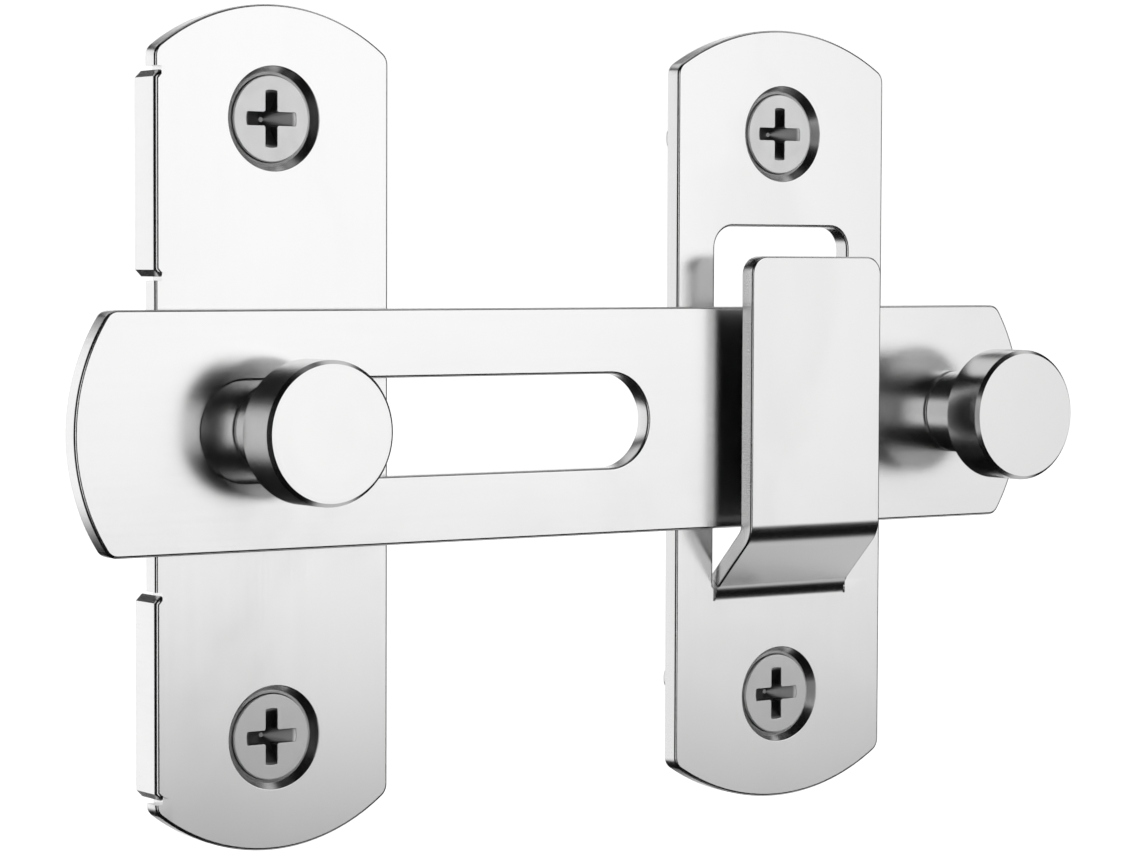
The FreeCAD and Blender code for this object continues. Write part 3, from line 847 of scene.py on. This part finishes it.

# %% [markdown]
# ## Plated screws
# The screws are plated with matt zinc. Plating has a sandy grain that spreads the light evenly,
# so the heads read as a flat grey among the bright sheets. Inside the recess the colour is
# darkened to a dark grey, which is painted shade for the shadow in the recess. The recess is
# found by its shape: it is the only place where the distance to the screw's axis and the depth
# below the face add up to so little.


# %% Mix the screw plating
def zinc_plating(name, axis_x):
    material = bpy.data.materials.new(name)
    tree = start_tree(material)
    place_on = tree.node("ShaderNodeTexCoord", {}, {}, "Object")
    x, y, z = (tree.node("ShaderNodeSeparateXYZ", {}, {"Vector": place_on}, axis)
               for axis in "XYZ")
    off_axis = tree.node("ShaderNodeMath", {"operation": "ABSOLUTE"}, {0: z}) - SCREW_HEIGHT * MM
    across = x - axis_x * MM
    radius = (across * across + off_axis * off_axis) ** 0.5
    depth = y - SCREW_FACE * MM
    # Painted shade: this recess mask darkens the plating's colour inside the cross recess.
    recess = depth.fade(0.05 * MM, 0.3 * MM) * (1 - (radius + depth).fade(3.15 * MM, 3.6 * MM))
    sand = noise(place_on, 9000.0, 3.0, 0.7)
    cloud = noise(place_on, 420.0, 4.0, 0.6, 0.5)
    roughness = 0.36 + 0.16 * (sand - 0.5) + 0.12 * (cloud - 0.5)
    shade = 0.5 + 0.7 * (cloud - 0.5) + 0.9 * (sand - 0.5)
    plated = mixed(shade, (0.68, 0.68, 0.685), (0.78, 0.78, 0.78))
    # The dark grey mixed in here is painted shade in the recess, not a colour of the zinc.
    colour = tree.node("ShaderNodeMix", {"data_type": "RGBA"},
                       {0: recess, 6: plated, 7: (0.26, 0.26, 0.26, 1)}, 2)
    bump = tree.node("ShaderNodeBump", {}, {"Strength": 0.5, "Distance": 0.000012,
                                            "Height": sand})
    steel = tree.node("ShaderNodeBsdfPrincipled", {}, {
        "Base Color": colour, "Metallic": 1.0, "Roughness": roughness, "Normal": bump,
    })
    tree.node("ShaderNodeOutputMaterial", {}, {"Surface": steel})
    return material


base_plating = zinc_plating("matt_zinc_base_screws", BASE_X)
keeper_plating = zinc_plating("matt_zinc_keeper_screws", KEEPER_X)
for piece in screws:
    finish_with(piece, base_plating if "base" in piece.name else keeper_plating)
print("plating on", len(screws), "screws")

# %% [markdown]
# ## The studio
# Polished steel shows the room, so the room is the light. This one is dark, with bright soft
# panels in it. The flat faces mirror a wide panel at the front right. A narrow one at the front
# left lights the sides of the knobs. A long one goes round the back, with a dark gap on the
# right and a dimmer stretch and a high strip straight behind. Two more stand above and below on
# the right. The dark between the panels draws the dark lines along every rounded edge.
# The panels are made in the world's own shader, from the compass angle and the height of the
# direction that the light comes from, which keeps their edges soft and costs no extra noise.

# %% Light the room
world = bpy.data.worlds.new("studio_room")
scene.world = world
tree = start_tree(world)
direction = tree.node("ShaderNodeTexCoord", {}, {}, "Generated")
east, north, up = (tree.node("ShaderNodeSeparateXYZ", {}, {"Vector": direction}, axis)
                   for axis in "XYZ")
compass = tree.node("ShaderNodeMath", {"operation": "ARCTAN2"}, {0: east, 1: -1 * north})
height = tree.node("ShaderNodeMath", {"operation": "ARCSINE"}, {0: up})
away = tree.node("ShaderNodeMath", {"operation": "ABSOLUTE"}, {0: compass})


def opening(angle, low, high, soft):
    """1 between two angles in degrees, fading to 0 over soft degrees at each side."""
    low, high, soft = (math.radians(a) for a in (low, high, soft))
    return angle.fade(low - soft, low + soft) * (1 - angle.fade(high - soft, high + soft))


def panel(left, right, bottom, top, soft=4):
    return opening(compass, left, right, soft) * opening(height, bottom, top, soft)


main_level = compass.fade(math.radians(34), math.radians(48), 1.38, 0.99)
main = panel(17, 54, -8.9, 33, 3) * main_level
side = panel(-46, -24, -25, 21, 3) * 1.15
back_level = away.fade(math.radians(138), math.radians(152), 1.0, 1.3)
right_gap = 1 - opening(compass, 90, 138, 5)
back = opening(away, 122, 169, 5) * opening(height, -25, 25, 5) * back_level * right_gap
far_back = opening(away, 173, 200, 5) * opening(height, -20, 14, 4) * 0.55
low_right = panel(70, 120, -76, -38, 6) * 0.66
high_right = panel(70, 120, 38, 76, 6) * 0.75
ceiling = height.fade(math.radians(70), math.radians(82)) * 0.5
high_back = opening(away, 140, 200, 6) * opening(height, 36, 60, 3) * 0.8
light = 0.003 + main + side + back + far_back + high_back + low_right + high_right + ceiling
background = tree.node("ShaderNodeBackground", {}, {"Color": (1, 1, 1, 1), "Strength": light})
tree.node("ShaderNodeOutputWorld", {}, {"Surface": background})
print("room nodes:", len(world.node_tree.nodes))

# %% [markdown]
# ## Floor and backdrop
# The floor and the wall behind are one pale sheet, curved where they meet, turned round the
# latch so that it is there from every side. It lies lower than the bar can swing. It is kept
# out of the reflections, which come from the room alone.

# %% Lay the floor
FLOOR = -125
cove = turn_section("pale_cove", [(0, 0), (2600, 0), (2850, 70), (3000, 300), (3050, 2600)], 96)
bpy.ops.object.select_all(action="DESELECT")
cove.select_set(True)
bpy.context.view_layer.objects.active = cove
cove.rotation_euler = (math.pi / 2, 0, 0)
cove.location = (0.04, 0, FLOOR * MM)
bpy.ops.object.transform_apply(location=True, rotation=True, scale=True)
apply_modifier(cove, "SUBSURF", levels=2, render_levels=2)
cove.visible_glossy = cove.visible_diffuse = cove.visible_shadow = False
cove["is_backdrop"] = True

pale = bpy.data.materials.new("pale_floor")
tree = start_tree(pale)
coordinates = tree.node("ShaderNodeTexCoord", {}, {}, "Object")
tint = mixed(noise(coordinates, 3.0, 2.0), (0.88, 0.88, 0.88), (0.9, 0.9, 0.9))
paper = tree.node("ShaderNodeBsdfPrincipled", {}, {
    "Base Color": tint, "Roughness": 0.9, "Emission Color": (1, 1, 1, 1), "Emission Strength": 0.9,
})
tree.node("ShaderNodeOutputMaterial", {}, {"Surface": paper})
finish_with(cove, pale)
print("floor at", FLOOR, "mm")

# %% [markdown]
# ## The camera
# A long lens from the front left, a little above the middle. The camera is placed from the
# point it looks at, so the angles can be read as they are.

# %% Set the camera
YAW, PITCH_DOWN, ROLL = 35.4351, 2.6794, 0.2085
AIM = Vector((36.198, -4.15, -0.593)) * MM
DISTANCE = 387.53 * MM

camera_data = bpy.data.cameras.new("camera")
camera = bpy.data.objects.new("camera", camera_data)
scene.collection.objects.link(camera)
camera_data.lens = 111.89
camera_data.sensor_width = 36
camera_data.clip_start = 0.01
turned = (Matrix.Rotation(-math.radians(YAW), 3, "Z")
          @ Matrix.Rotation(math.radians(90 - PITCH_DOWN), 3, "X")
          @ Matrix.Rotation(math.radians(ROLL), 3, "Z"))
camera.rotation_euler = turned.to_euler()
camera.location = AIM + turned @ Vector((0, 0, DISTANCE))
scene.camera = camera
scene.view_settings.view_transform = "Standard"
print("camera at, mm:", [round(c / MM, 1) for c in camera.location])

# %% Write the sizes and finish
bpy.context.view_layer.update()
low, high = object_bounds()
print("finished box, mm:", [round(x / MM, 2) for x in (*low, *high)])
